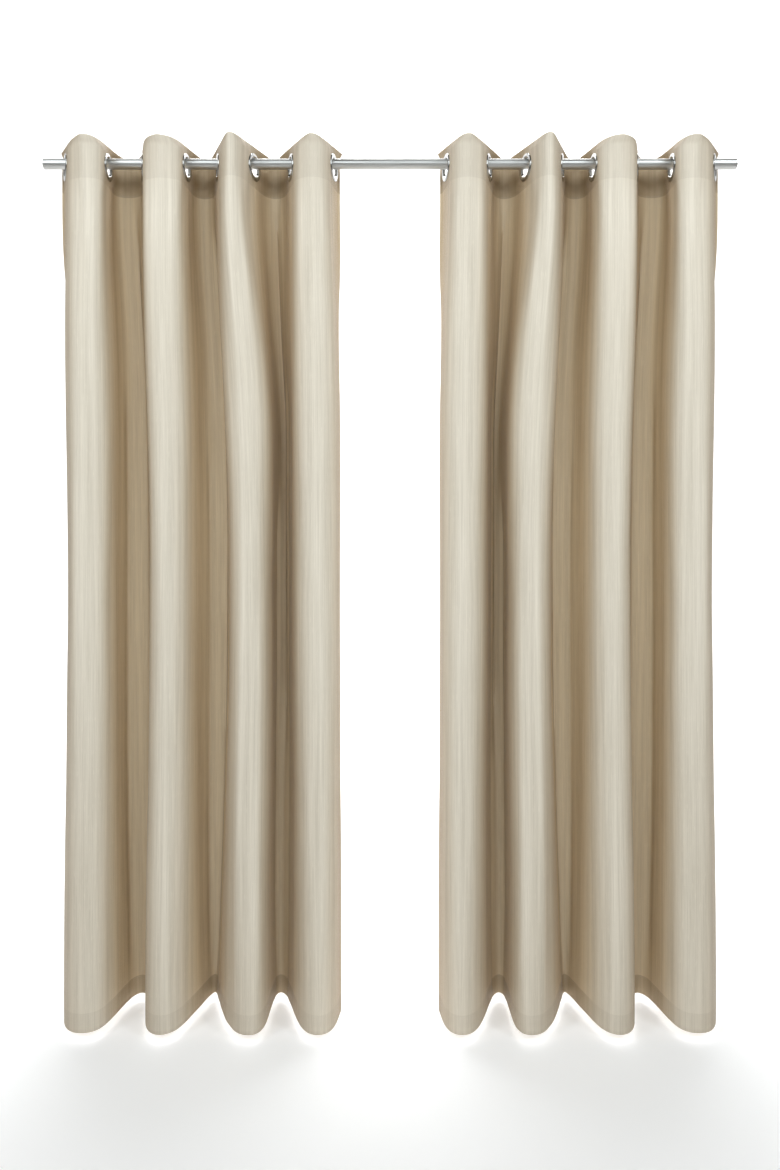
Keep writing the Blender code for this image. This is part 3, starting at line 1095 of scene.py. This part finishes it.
@dataclass
class Finishes:
    """Every finish on the object, made once."""

    effects: Effects = field(default_factory=Effects)

    def __post_init__(self) -> None:
        """Builds the materials."""
        thread = ClothFinish(
            "sewing_thread", pale=(0.78, 0.72, 0.61), deep=(0.70, 0.63, 0.51), roughness=0.5, sheen=0.15
        )
        rod = MetalFinish("rod_satin_nickel", (0.56, 0.56, 0.545), roughness=0.44, line_depth=0.00002)
        polish = {"line_depth": 0.000006, "fineness": 2.0, "wear": 0.6, "dust": 0.15}
        eyelet = MetalFinish("eyelet_polished", (0.46, 0.46, 0.45), 0.12, **polish)
        back = MetalFinish("eyelet_back_plated", (0.58, 0.58, 0.57), 0.26, line_depth=0.00001, fineness=1.5)
        plug = PlasticFinish("end_plug_plastic", (0.16, 0.16, 0.16))
        wanted = (ClothFinish("curtain_cloth"), thread, rod, eyelet, back, plug)
        made = [finish.make(self.effects) for finish in wanted]
        self.cloth, self.thread, self.rod, self.eyelet, self.eyelet_back, self.plug = made


# ---------------------------------------------------------------- the rod


def fit(piece: bpy.types.Object, finish: bpy.types.Material, node: str, body: str) -> None:
    """Puts a rigid piece in place of a packed one.

    Args:
        piece: The piece.
        finish: Its material.
        node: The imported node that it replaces.
        body: The body that it rides on.
    """
    piece.data.materials.append(finish)
    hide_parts(node)
    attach(piece, body)


@dataclass
class Rod:
    """The tube and its two end plugs."""

    layout: Layout
    wall: float = 0.0013
    chamfer: float = 0.0005
    sides: int = 96
    plug_face: float = 0.003
    plug_skirt: float = 0.002
    plug_dish: float = 0.0007
    plug_bevel: float = 0.0004
    plug_border: float = 0.0016
    ribs: int = 4
    rib_pitch: float = 0.004
    rib_depth: float = 0.0003

    def build(self, finishes: Finishes) -> None:
        """Models the tube and the plugs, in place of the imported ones.

        Args:
            finishes: The object's finishes.
        """
        fit(self._tube(), finishes.rod, "rod_tube", "root")
        LOG.info("rod tube, %.3f m long", 2 * self.layout.rod_half)
        for side in Side:
            fit(self._plug(side), finishes.plug, f"end_plug_{side.word}", "root")
            LOG.info("%s end plug", side.word)

    def _tube(self) -> bpy.types.Object:
        """The tube: square-cut ends with their sharp edges broken.

        Returns:
            The piece.
        """
        outer, half = self.layout.rod_radius, self.layout.rod_half
        inner = outer - self.wall
        corners = [(inner, half), (outer, half), (outer, -half), (inner, -half)]
        outline = rounded(corners, [self.chamfer * 0.6, self.chamfer] * 2, 3)
        return turned("rod", outline, self.sides, Matrix.Rotation(math.pi / 2, 4, "Y"))

    def _plug(self, side: Side) -> bpy.types.Object:
        """A plug pressed into an end of the tube, its face flush and slightly dished.

        Args:
            side: The end that it closes.

        Returns:
            The piece.
        """
        radius, length = self.layout.plug_radius, self.layout.plug_length
        hollow, rim = radius - self.plug_skirt, radius - self.plug_border
        dish, bevel, groove = self.plug_dish, self.plug_bevel, radius - self.rib_depth
        outline = [(0.0, -dish), (rim * 0.35, -dish), (rim * 0.8, -dish * 0.9), (rim, -dish * 0.4)]
        outline += [(rim + 0.0005, -0.0001), (radius - bevel, 0.0)]
        outline += [(radius - bevel / 4, -bevel / 4), (radius, -bevel)]
        for rib in range(1, self.ribs + 1):
            at = -rib * self.rib_pitch
            outline += [(radius, at), (groove, at - 0.0008), (groove, at - 0.0022), (radius, at - 0.003)]
        outline += [(radius, -length), (hollow, -length), (hollow, -self.plug_face), (0.0, -self.plug_face)]
        place = Matrix.Translation((-side.value * self.layout.rod_half, 0, 0))
        place = place @ Matrix.Rotation(-side.value * math.pi / 2, 4, "Y")
        return turned(f"end_plug_{side.word}_fitted", outline, 64, place, closed=False)


# ---------------------------------------------------------------- the eyelets


@dataclass
class Eyelet:
    """A pressed eyelet: a domed front half with its barrel, and a back half clipped over it."""

    layout: Layout
    cut: Cut
    bore: float = 0.022
    barrel_wall: float = 0.0012
    seat: float = 0.0013
    lip_height: float = 0.0026
    back_height: float = 0.0022
    lip_steps: int = 14
    lip_fullness: float = 0.62  # under 1 for a lip fuller than a half round
    steps: int = 72
    teeth: int = 12
    tooth: Point = (0.0042, 0.0016, 0.0008)

    def frame(self, side: Side, k: int, drape: Drape) -> Matrix:
        """Where an eyelet sits: its Z points out of the face of the cloth.

        Args:
            side: Its panel.
            k: Its number, from 0 at the outer edge.
            drape: The cloth's surface.

        Returns:
            The eyelet's matrix.
        """
        lean = math.radians(drape.hang.leans[k])
        to_front = 1.0 if k % 2 == 0 else -1.0
        along = Vector((side.value * math.sin(lean), -to_front * math.cos(lean), 0.0))
        up = Vector((0.0, 0.0, 1.0))
        out = up.cross(along) * -side.value
        matrix = Matrix((up.cross(out), up, out)).transposed().to_4x4()
        matrix.translation = Vector((side.value * self.layout.eyelet_x[k], 0.0, self.layout.eyelet_z))
        return matrix

    def front(self, name: str, place: Matrix) -> bpy.types.Object:
        """The front half, with a rolled rim, a domed lip and a flared barrel.

        Args:
            name: The piece's name.
            place: The eyelet's matrix.

        Returns:
            The piece.
        """
        rim, bore, seat = self.layout.eyelet_radius, self.bore, self.seat
        barrel = bore + self.barrel_wall
        end = -(seat + self.back_height)
        lip = (rim - bore) / 2
        outline = [(bore, end + 0.0004), (bore, seat)]
        for s in range(1, self.lip_steps + 1):
            angle = math.pi * (1 - s / self.lip_steps)
            rise = self.lip_height * math.sin(angle) ** self.lip_fullness
            outline.append((bore + lip + lip * math.cos(angle), seat + rise))
        outline += [(rim - 0.0001, seat - 0.0002), (rim - 0.0006, seat - 0.0002)]
        outline += [(rim - 0.0010, seat + 0.0004), (barrel + 0.0014, seat + 0.0005), (barrel, seat - 0.0006)]
        outline += [(barrel, end + 0.0006), (barrel + 0.0002, end + 0.0001), (bore + 0.0004, end)]
        return turned(name, outline, self.steps, place)

    def back(self, name: str, place: Matrix) -> bpy.types.Object:
        """The back half: a sloping washer with a stepped collar and grip teeth round it.

        Args:
            name: The piece's name.
            place: The eyelet's matrix.

        Returns:
            The piece.
        """
        inner = self.bore + self.barrel_wall + 0.0004
        rim = self.layout.eyelet_radius - 0.0003
        seat, height = -self.seat, self.back_height
        corners = [(inner, seat), (rim, seat), (rim - 0.0012, seat - height * 0.62)]
        corners += [(inner + 0.0034, seat - height * 0.80), (inner + 0.0026, seat - height)]
        corners.append((inner, seat - height))
        radii = [0.0, 0.0003, 0.0009, 0.0005, 0.0004, 0.0004]
        washer = turned(name, rounded(corners, radii), self.steps, place)
        solid = bmesh.new()
        solid.from_mesh(washer.data)
        for i in range(self.teeth):
            angle = 2 * math.pi * (i + 0.5) / self.teeth
            tooth = bmesh.ops.create_cube(solid, size=1.0)["verts"]
            bmesh.ops.scale(solid, verts=tooth, vec=self.tooth)
            edges = list({edge for vert in tooth for edge in vert.link_edges})
            made = bmesh.ops.bevel(
                solid, geom=edges, offset=0.00025, segments=2, profile=0.5, affect="EDGES", material=-1
            )
            verts = {vert for face in made["faces"] for vert in face.verts} | {v for v in tooth if v.is_valid}
            spot = Matrix.Translation((inner + 0.0058, 0, seat - height * 0.70))
            spot = place @ Matrix.Rotation(angle, 4, "Z") @ spot
            bmesh.ops.transform(solid, matrix=spot, verts=list(verts))
        solid.to_mesh(washer.data)
        solid.free()
        shade(washer.data)
        return washer

    def build(self, side: Side, k: int, drape: Drape, finishes: Finishes) -> None:
        """Models one eyelet, in place of its packed halves.

        Args:
            side: Its panel.
            k: Its number, from 0.
            drape: The cloth's surface.
            finishes: The object's finishes.
        """
        place = self.frame(side, k, drape)
        for half, make, finish, slot in (
            (Half.FRONT, self.front, finishes.eyelet, "eyelet_metal"),
            (Half.BACK, self.back, finishes.eyelet_back, "eyelet_back_metal"),
        ):
            node = f"{side.word}_eyelet_{k + 1}_{half.value}"
            fit(make(f"{node}_pressed", place), finish, node, f"{side.word}_slider_{k + 1}")


# ---------------------------------------------------------------- the panels


@dataclass
class Panel:
    """One curtain: a single sheet turned over at its heading and hem, hemmed down its sides and stitched."""

    side: Side
    layout: Layout
    cut: Cut
    drape: Drape
    slack: Slack
    cells_per_gap: int = 32
    edge_cells: int = 8
    heading_rows: int = 22
    hem_rows: int = 4
    body_rows: int = 112
    fold_rows: int = 4
    side_hem_cells: int = 6
    side_hem_tuck: float = 0.004  # how far a side hem runs in under the heading and the hem
    hole_cells: int = 4  # from an eyelet's middle to the ring of cells on its hole
    settle_cells: int = 3  # from there to where the cells lie unmoved
    seam_step: float = 0.0007
    grip: float = 0.002  # cloth beside an eyelet that moves with it
    lit: float = -0.045  # how far into the room the painted shade starts and the cloth looks plainest
    shaded: float = 0.025  # from here on towards the window the painted shade is full and the cloth looks deepest
    lit_layers: float = 0.25  # how much of the doubled cloth's painted shade shows where it is lit
    stitch_pitch: float = 0.0036
    stitch_length: float = 0.0027
    stitch_gauge: float = 0.00042
    stitch_inset: float = 0.0025  # from a fold's raw edge

    # ------------------------------------------------ from flat cloth to hung cloth

    def _columns(self) -> Array:
        """Even steps along the cloth that put a column on each eyelet's middle.

        Returns:
            Each column's distance from the outer edge.
        """
        margin, spacing = self.drape.margin, self.drape.spacing
        gaps = len(self.layout.eyelet_x) - 1
        outer = np.linspace(0.0, margin, self.edge_cells + 1)
        middle = margin + np.linspace(0.0, spacing * gaps, self.cells_per_gap * gaps + 1)
        return np.concatenate([outer, middle[1:], self.cut.width - outer[::-1][1:]])

    def _rows(self) -> tuple[Array, Array, Array]:
        """The cloth's rows from the heading's turned-in edge, over the top, down, and up inside the hem.

        Returns:
            For each row its distance below the top, its offset from the middle of the cloth towards the room,
            and how many layers lie there, less one.
        """
        cut, drop = self.cut, self.drape.drop
        front = cut.layer_offset
        heading = np.linspace(0.0, cut.heading, self.heading_rows + 1)
        body = np.linspace(cut.heading, drop - cut.hem, self.body_rows + 1)
        body = np.sort(np.append(body, [cut.heading + self.seam_step, drop - cut.hem - self.seam_step]))
        hem = np.linspace(drop - cut.hem, drop, self.hem_rows + 1)
        bend = np.linspace(0.0, math.pi, self.fold_rows + 2)[1:-1]
        inset = front * (1 - np.sin(bend))
        down = [heading[::-1][:-1], [front], inset, [front], heading[1:], body[1:], hem[1:-1]]
        out = [np.full(self.heading_rows, -front), [-front], -front * np.cos(bend), [front]]
        out += [np.full(self.heading_rows + len(body) + self.hem_rows - 2, front)]
        down += [[drop - front], drop - inset, [drop - front], hem[::-1][1:]]
        out += [[front], front * np.cos(bend), [-front], np.full(self.hem_rows, -front)]
        down, out = np.concatenate(down), np.concatenate(out)
        doubled = np.where((down < cut.heading + 1e-4) | (down > drop - cut.hem - 1e-4), 1.0, 0.0)
        return down, out, doubled

    def _round_holes(self, u: Array, down: Array) -> tuple[Array, Array, Array]:
        """Moves the cells round each eyelet so that a ring of them lies on its hole.

        Args:
            u: Distances along the cloth.
            down: Distances below the top.

        Returns:
            The moved distances, and which points fall inside a hole.
        """
        hole = Eyelet(self.layout, self.cut).bore + self.cut.hole_margin
        middle = self.layout.top - self.layout.eyelet_z
        block = self.drape.spacing / self.cells_per_gap * self.hole_cells
        inside = np.zeros(len(u), bool)
        u, down = u.copy(), down.copy()
        for k in range(len(self.layout.eyelet_x)):
            a, b = u - self.drape.eyelet_along(k), down - middle
            square = np.maximum(np.abs(a), np.abs(b)) / block
            radius = np.hypot(a, b)
            inside |= square < 0.99
            pull = 1 - smooth((square - 1.0) * self.hole_cells / self.settle_cells)
            ringed = hole * square / np.maximum(radius, 1e-9)
            scale = np.where(radius > 1e-9, mix(1.0, ringed, pull), 1.0)
            near = pull > 0
            u = np.where(near, self.drape.eyelet_along(k) + a * scale, u)
            down = np.where(near, middle + b * scale, down)
        return u, down, inside

    def place(self, u: Array, down: Array, out: Array) -> Array:
        """Takes points of the flat cloth to the hung cloth.

        Args:
            u: Distances along the cloth from its outer edge.
            down: Distances below the top.
            out: Offsets from the middle of the cloth towards the room.

        Returns:
            Points in the model's frame.
        """
        places, headings = self.drape.at(u, down)
        normal = np.stack([headings[:, 1], -headings[:, 0]], axis=1)
        places = places + normal * (out + self.slack.at(u, down))[:, None]
        return np.stack([self.side.value * places[:, 0], places[:, 1], self.layout.top - down], axis=1)

    # ------------------------------------------------ pieces

    def _weights(self, piece: bpy.types.Object) -> None:
        """Works out a blend weight at each side of every eyelet, from 0 at the outermost to 1 at the leading
        one; they are not applied.

        Args:
            piece: The piece, whose points are read.
        """
        count = len(piece.data.vertices)
        points = np.zeros(count * 3)
        piece.data.vertices.foreach_get("co", points)
        stations, weights = [], []
        last = len(self.layout.eyelet_x) - 1
        for k, (middle, lean) in enumerate(zip(self.layout.eyelet_x, self.drape.hang.leans)):
            reach = self.layout.eyelet_radius * math.sin(math.radians(abs(lean))) + self.grip
            stations += [middle - reach, middle + reach]
            weights += [k / last, k / last]

    def _hang_up(self, piece: bpy.types.Object, finish: bpy.types.Material) -> None:
        """Gives a piece of the panel its finish, bakes its place into its points and logs its face count.

        Args:
            piece: The piece.
            finish: Its material.
        """
        piece.data.materials.append(finish)
        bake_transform(piece)
        self._weights(piece)
        LOG.info("%s, %d faces", piece.name, len(piece.data.polygons))

    def _grid(
        self, name: str, u: Array, down: Array, out: Array, layers: Array, holes: bool
    ) -> bpy.types.Object:
        """A strip of cloth, from a flat grid of cells.

        Args:
            name: The piece's name.
            u: Each column's distance along the cloth.
            down: Each row's distance below the top.
            out: Each row's offset towards the room.
            layers: How much of each row is doubled.
            holes: Whether the eyelets' holes are cut.

        Returns:
            The piece, as thick as the cloth.
        """
        columns, rows = len(u), len(down)
        sheet = bmesh.new()
        bmesh.ops.create_grid(sheet, x_segments=columns - 1, y_segments=rows - 1, size=0.5)
        sheet.verts.ensure_lookup_table()
        flat = np.array([vert.co[:2] for vert in sheet.verts]) + 0.5
        i = np.rint(flat[:, 0] * (columns - 1)).astype(int)
        j = np.rint(flat[:, 1] * (rows - 1)).astype(int)
        along, below = u[i], down[j]
        inside = np.zeros(len(along), bool)
        if holes:
            along, below, inside = self._round_holes(along, below)
        run = np.concatenate([[0.0], np.cumsum(np.hypot(np.diff(down), np.diff(out)))])
        cloth_map = sheet.loops.layers.uv.new("cloth")
        doubled_shade_mask = sheet.verts.layers.float.new("layers")
        recess_shade_mask = sheet.verts.layers.float.new("depth")
        hung = self.place(along, below, out[j])
        # Painted shade: cloth lying further towards the window, in the back folds, is marked for darkening,
        # and doubled cloth there the most.
        depths = smooth((hung[:, 1] - self.lit) / (self.shaded - self.lit))
        shown = layers[j] * mix(self.lit_layers, 1.0, depths)
        for vert, point, share, depth in zip(sheet.verts, hung, shown, depths):
            vert.co = point
            vert[doubled_shade_mask] = share
            vert[recess_shade_mask] = depth
        for face in sheet.faces:
            for loop in face.loops:
                n = loop.vert.index
                loop[cloth_map].uv = (along[n], run[j[n]])
        if holes:
            gone = [face for face in sheet.faces if self._in_hole(face, inside)]
            bmesh.ops.delete(sheet, geom=gone, context="FACES")
        if self.side is Side.RIGHT:
            bmesh.ops.reverse_faces(sheet, faces=sheet.faces)
        return self._thicken(link(name, mesh_from(sheet, name)))

    @staticmethod
    def _in_hole(face: bmesh.types.BMFace, inside: Array) -> bool:
        """Whether a cell falls in a hole: some corners do, and the others lie beside ones that do.

        Args:
            face: The cell.
            inside: Which points fall inside a hole.

        Returns:
            Whether it goes.
        """

        def beside(vert: bmesh.types.BMVert) -> bool:
            """Whether a point lies beside one that falls in a hole."""
            return any(inside[edge.other_vert(vert).index] for edge in vert.link_edges)

        corners = face.verts
        return any(inside[v.index] for v in corners) and all(inside[v.index] or beside(v) for v in corners)

    def _thicken(self, piece: bpy.types.Object) -> bpy.types.Object:
        """Gives a strip its thickness, half to each side, and applies it.

        Args:
            piece: The strip, as a single layer.

        Returns:
            The same piece, made solid.
        """
        solid = piece.modifiers.new("thickness", "SOLIDIFY")
        solid.thickness = self.cut.thickness
        solid.offset = 0.0
        shown = piece.evaluated_get(bpy.context.evaluated_depsgraph_get())
        mesh = bpy.data.meshes.new_from_object(shown)
        piece.modifiers.clear()
        piece.data = mesh
        mesh.name = piece.name
        shade(mesh, 60.0)
        return piece

    def _body(self, finishes: Finishes) -> bpy.types.Object:
        """The panel itself, from the turned-in heading to the turned-up hem.

        Args:
            finishes: The object's finishes.

        Returns:
            The piece.
        """
        down, out, layers = self._rows()
        sheet = self._grid(f"{self.side.word}_panel", self._columns(), down, out, layers, holes=True)
        self._hang_up(sheet, finishes.cloth)
        names = [f"{self.side.word}_fold_{k + 1}" for k in range(len(self.layout.eyelet_x))]
        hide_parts(*names)
        return sheet

    def _side_hem(self, outer: bool, finishes: Finishes) -> bpy.types.Object:
        """The turned-in side of the cloth, behind the panel, between heading and hem.

        Args:
            outer: Whether it is the outer side, not the leading one.
            finishes: The object's finishes.

        Returns:
            The piece.
        """
        cut, tuck = self.cut, self.side_hem_tuck
        u = np.linspace(0.0006, cut.side_hem, self.side_hem_cells + 1)
        if not outer:
            u = cut.width - u[::-1]
        down = np.linspace(cut.heading - tuck, self.drape.drop - cut.hem + tuck, self.body_rows + 1)
        back, layers = np.full(len(down), -cut.layer_offset), np.ones(len(down))
        name = f"{self.side.word}_{'outer' if outer else 'leading'}_side_hem"
        strip = self._grid(name, u, down, back, layers, holes=False)
        self._hang_up(strip, finishes.cloth)
        return strip

    @staticmethod
    def _stitch() -> bpy.types.Mesh:
        """One stitch of unit size along X, plump in the middle and drawn in at its ends.

        Returns:
            Its mesh.
        """
        shape = bmesh.new()
        bmesh.ops.create_cube(shape, size=1.0)
        ends = {vert for face in shape.faces if abs(face.normal.x) > 0.9 for vert in face.verts}
        bmesh.ops.scale(shape, verts=list(ends), vec=(1, 0.62, 0.5))
        long_edges = [e for e in shape.edges if abs((e.verts[0].co - e.verts[1].co).x) > 0.5]
        bmesh.ops.subdivide_edges(shape, edges=long_edges, cuts=1)
        for vert in shape.verts:
            if abs(vert.co.x) < 0.1:
                vert.co = Vector((0.0, vert.co.y * 1.35, vert.co.z * 1.6))
        return mesh_from(shape, "stitch")

    def _stitches(self, finishes: Finishes) -> bpy.types.Object:
        """Every stitch of the heading, the hem and the side hems, as one piece of thread.

        Args:
            finishes: The object's finishes.

        Returns:
            The piece.
        """
        cut, pitch, inset = self.cut, self.stitch_pitch, self.stitch_inset
        first, last = cut.heading, self.drape.drop - cut.hem
        across = np.arange(0.006, cut.width - 0.006, pitch)
        tall = np.arange(first + 0.004, last - 0.004, pitch * 1.4)
        runs = [(across, np.full(len(across), down), True) for down in (first - inset, last + inset)]
        for u in (cut.side_hem - inset, cut.width - cut.side_hem + inset):
            runs.append((np.full(len(tall), u), tall, False))
        stitch = self._stitch()
        seam = bmesh.new()
        for u, down, sideways in runs:
            du, dd = (self.stitch_length / 2, 0.0) if sideways else (0.0, self.stitch_length / 2)
            for face_side in (1, -1):
                offset = face_side * (cut.thickness + cut.layer_gap / 2 + self.stitch_gauge * 0.12)
                offsets = np.full(len(u), offset)
                starts, ends = self.place(u - du, down - dd, offsets), self.place(u + du, down + dd, offsets)
                above = self.place(u, down, offsets + face_side * 0.001)
                for points in zip(starts, ends, above):
                    self._set_stitch(seam, stitch, *(Vector(point) for point in points))
        bmesh.ops.recalc_face_normals(seam, faces=seam.faces)
        cloth_map = seam.loops.layers.uv.new("cloth")
        for face in seam.faces:
            for loop in face.loops:
                loop[cloth_map].uv = (loop.vert.co.x, loop.vert.co.z)
        name = f"{self.side.word}_stitching"
        thread = link(name, mesh_from(seam, name))
        bpy.data.meshes.remove(stitch)
        self._hang_up(thread, finishes.thread)
        return thread

    def _set_stitch(
        self, seam: bmesh.types.BMesh, stitch: bpy.types.Mesh, start: Vector, end: Vector, above: Vector
    ) -> None:
        """Adds one stitch from start to end, its back towards above.

        Args:
            seam: Holds the stitches.
            stitch: One stitch of unit size.
            start: Where it goes in.
            end: Where it comes out.
            above: A point over its middle, clear of the cloth.
        """
        first = len(seam.verts)
        seam.from_mesh(stitch)
        seam.verts.ensure_lookup_table()
        middle, run = (start + end) / 2, end - start
        way = run.normalized()
        across = (above - middle).normalized().cross(way).normalized()
        size = Matrix.Diagonal((run.length, self.stitch_gauge, self.stitch_gauge * 0.7, 1.0))
        turn = Matrix((way, across, way.cross(across))).transposed().to_4x4()
        place = Matrix.Translation(middle) @ turn @ size
        for vert in seam.verts[first:]:
            vert.co = place @ vert.co

    def build(self, finishes: Finishes) -> None:
        """Makes the panel's cloth and thread.

        Args:
            finishes: The object's finishes.
        """
        sheet = self._body(finishes)
        sewn = [self._side_hem(outer, finishes) for outer in (True, False)]
        sewn.append(self._stitches(finishes))


# ---------------------------------------------------------------- the room


@dataclass(frozen=True)
class SoftBox:
    """A rectangular soft light, in metres, watts and degrees of spread."""

    name: str
    place: Point
    aim: Point
    size: tuple[float, float]
    power: float
    spread: float = 180.0
    colour: Colour = (0.90, 0.96, 1.0)

    def switch_on(self) -> None:
        """Adds the light to the scene."""
        lamp = bpy.data.lights.new(self.name, "AREA")
        lamp.shape = "RECTANGLE"
        lamp.size, lamp.size_y = self.size
        lamp.energy = self.power
        lamp.color = self.colour
        lamp.spread = math.radians(self.spread)
        box = bpy.data.objects.new(self.name, lamp)
        box.location = self.place
        box.rotation_euler = (Vector(self.aim) - Vector(self.place)).to_track_quat("-Z", "Y").to_euler()
        bpy.context.scene.collection.objects.link(box)


@dataclass(frozen=True)
class Studio:
    """A plain pale room, soft lights, and a camera square to the rod."""

    layout: Layout
    distance: float = 1.85  # from the camera to the rod
    eye: float = 0.7676  # how far the camera stands below the rod
    lens: float = 23.13  # millimetres
    fall: float = 0.09316  # the view's downward shift, as a share of its height
    floor_gap: float = 0.022
    near: float = -7.0  # where the floor starts, in front
    back: float = 2.6  # where the backdrop stands
    curve: float = 1.2  # radius of the floor's turn into it
    curve_steps: int = 12
    high: float = 7.5
    wide: float = 14.0  # to each side
    paint: tuple[Colour, Colour] = ((0.86, 0.86, 0.86), (0.90, 0.90, 0.90))
    glow: tuple[float, float, float, float] = (-1.0, 1.6, 0.12, 0.45)  # from and to, and how bright at each
    ambience: Colour = (1.0, 0.87, 0.68)
    ambient_strength: float = 0.06
    beyond: float = 0.85  # how pale it looks past the backdrop's edges

    def camera(self) -> None:
        """A level camera whose view is shifted down to take in the hem."""
        lens = bpy.data.cameras.new("camera")
        lens.sensor_fit = "AUTO"
        lens.lens = self.lens
        lens.shift_y = -self.fall
        lens.clip_end = 60.0
        camera = bpy.data.objects.new("camera", lens)
        camera.location = (0.0, -self.distance, -self.eye)
        camera.rotation_euler = (math.pi / 2, 0.0, 0.0)
        bpy.context.scene.collection.objects.link(camera)
        bpy.context.scene.camera = camera

    def _paint(self) -> bpy.types.Material:
        """Matt white paint, brighter towards the backdrop, that the camera sees through from behind.

        Returns:
            The material.
        """
        graph, material, shader = new_material("studio_paint")
        place = graph.node("ShaderNodeTexCoord").outputs["Object"]
        dull, clean = (tint(colour) for colour in self.paint)
        graph.feed(shader.inputs["Base Color"], graph.blend(graph.noise(place, 0.8), dull, clean))
        shader.inputs["Roughness"].default_value = 0.9
        far = graph.node("ShaderNodeSeparateXYZ", in_Vector=place).outputs[1]
        graph.feed(shader.inputs["Emission Strength"], graph.spread(far, *self.glow))
        shader.inputs["Emission Color"].default_value = (1, 1, 1, 1)
        behind = graph.node("ShaderNodeNewGeometry").outputs["Backfacing"]
        seen = graph.node("ShaderNodeLightPath").outputs["Is Camera Ray"]
        hidden = graph.maths("MULTIPLY", behind, seen)
        graph.feed(shader.inputs["Alpha"], graph.maths("SUBTRACT", 1.0, hidden))
        return material

    def room(self) -> None:
        """A floor that curves up into a backdrop."""
        floor, turn = self.layout.hem - self.floor_gap, self.back - self.curve
        outline = [(self.near, floor), (turn, floor)]
        for s in range(1, self.curve_steps + 1):
            angle = math.pi / 2 * s / self.curve_steps
            outline.append((turn + self.curve * math.sin(angle), floor + self.curve * (1 - math.cos(angle))))
        outline.append((self.back, floor + self.high))
        sweep = bmesh.new()
        verts = [sweep.verts.new((-self.wide, y, z)) for y, z in outline]
        edges = [sweep.edges.new(pair) for pair in zip(verts, verts[1:])]
        moved = bmesh.ops.extrude_edge_only(sweep, edges=edges)["geom"]
        far_side = [item for item in moved if isinstance(item, bmesh.types.BMVert)]
        bmesh.ops.translate(sweep, vec=(2 * self.wide, 0, 0), verts=far_side)
        sweep.normal_update()
        if sum(face.normal.z for face in sweep.faces) < 0:
            bmesh.ops.reverse_faces(sweep, faces=sweep.faces)
        stage = link("studio_floor", mesh_from(sweep, "studio_floor"))
        stage.data.shade_smooth()
        stage.data.materials.append(self._paint())

    def world(self) -> None:
        """A faint warm light from all round, which the camera sees as a pale grey."""
        world = bpy.data.worlds.new("studio")
        world.use_nodes = True
        graph = Graph(world.node_tree)
        seen = graph.node("ShaderNodeLightPath").outputs["Is Camera Ray"]
        sky = world.node_tree.nodes["Background"]
        graph.feed(sky.inputs["Color"], graph.blend(seen, tint(self.ambience), tint((1.0, 1.0, 1.0))))
        graph.feed(sky.inputs["Strength"], graph.spread(seen, 0.0, 1.0, self.ambient_strength, self.beyond))
        bpy.context.scene.world = world

    def build(self) -> None:
        """Sets up the room, the lights and the camera."""
        self.room()
        self.camera()
        SoftBox("key", (0.0, -3.0, 1.1), (0, 0, -0.45), (5.2, 1.5), 73.0).switch_on()
        for side in Side:
            x = -side.value
            place, aim = (x * 2.7, -2.1, 1.5), (x * 0.35, 0, -0.35)
            SoftBox(f"side_{side.word}", place, aim, (0.9, 1.5), 14.0, spread=90.0).switch_on()
        wash = SoftBox("backdrop_wash", (0.0, 1.1, 2.6), (0, 2.6, 0.0), (3.6, 0.8), 130.0, colour=(1, 1, 1))
        wash.switch_on()
        self.world()
        bpy.context.scene.view_settings.view_transform = "Standard"


def main() -> None:
    """Builds the curtains, their rod and the room."""
    logging.basicConfig(level=logging.INFO, format="%(name)s: %(message)s")
    layout = Layout.read()
    cut, hang = Cut(), Hang()
    drape = Drape(layout, cut, hang)
    finishes = Finishes()
    Rod(layout).build(finishes)
    eyelet = Eyelet(layout, cut)
    for side in Side:
        for k in range(len(layout.eyelet_x)):
            eyelet.build(side, k, drape, finishes)
        LOG.info("%s eyelets", side.word)
        Panel(side, layout, cut, drape, Slack(drape, RIDGES, seed=7)).build(finishes)
    Studio(layout).build()


if __name__ == "__main__":
    main()
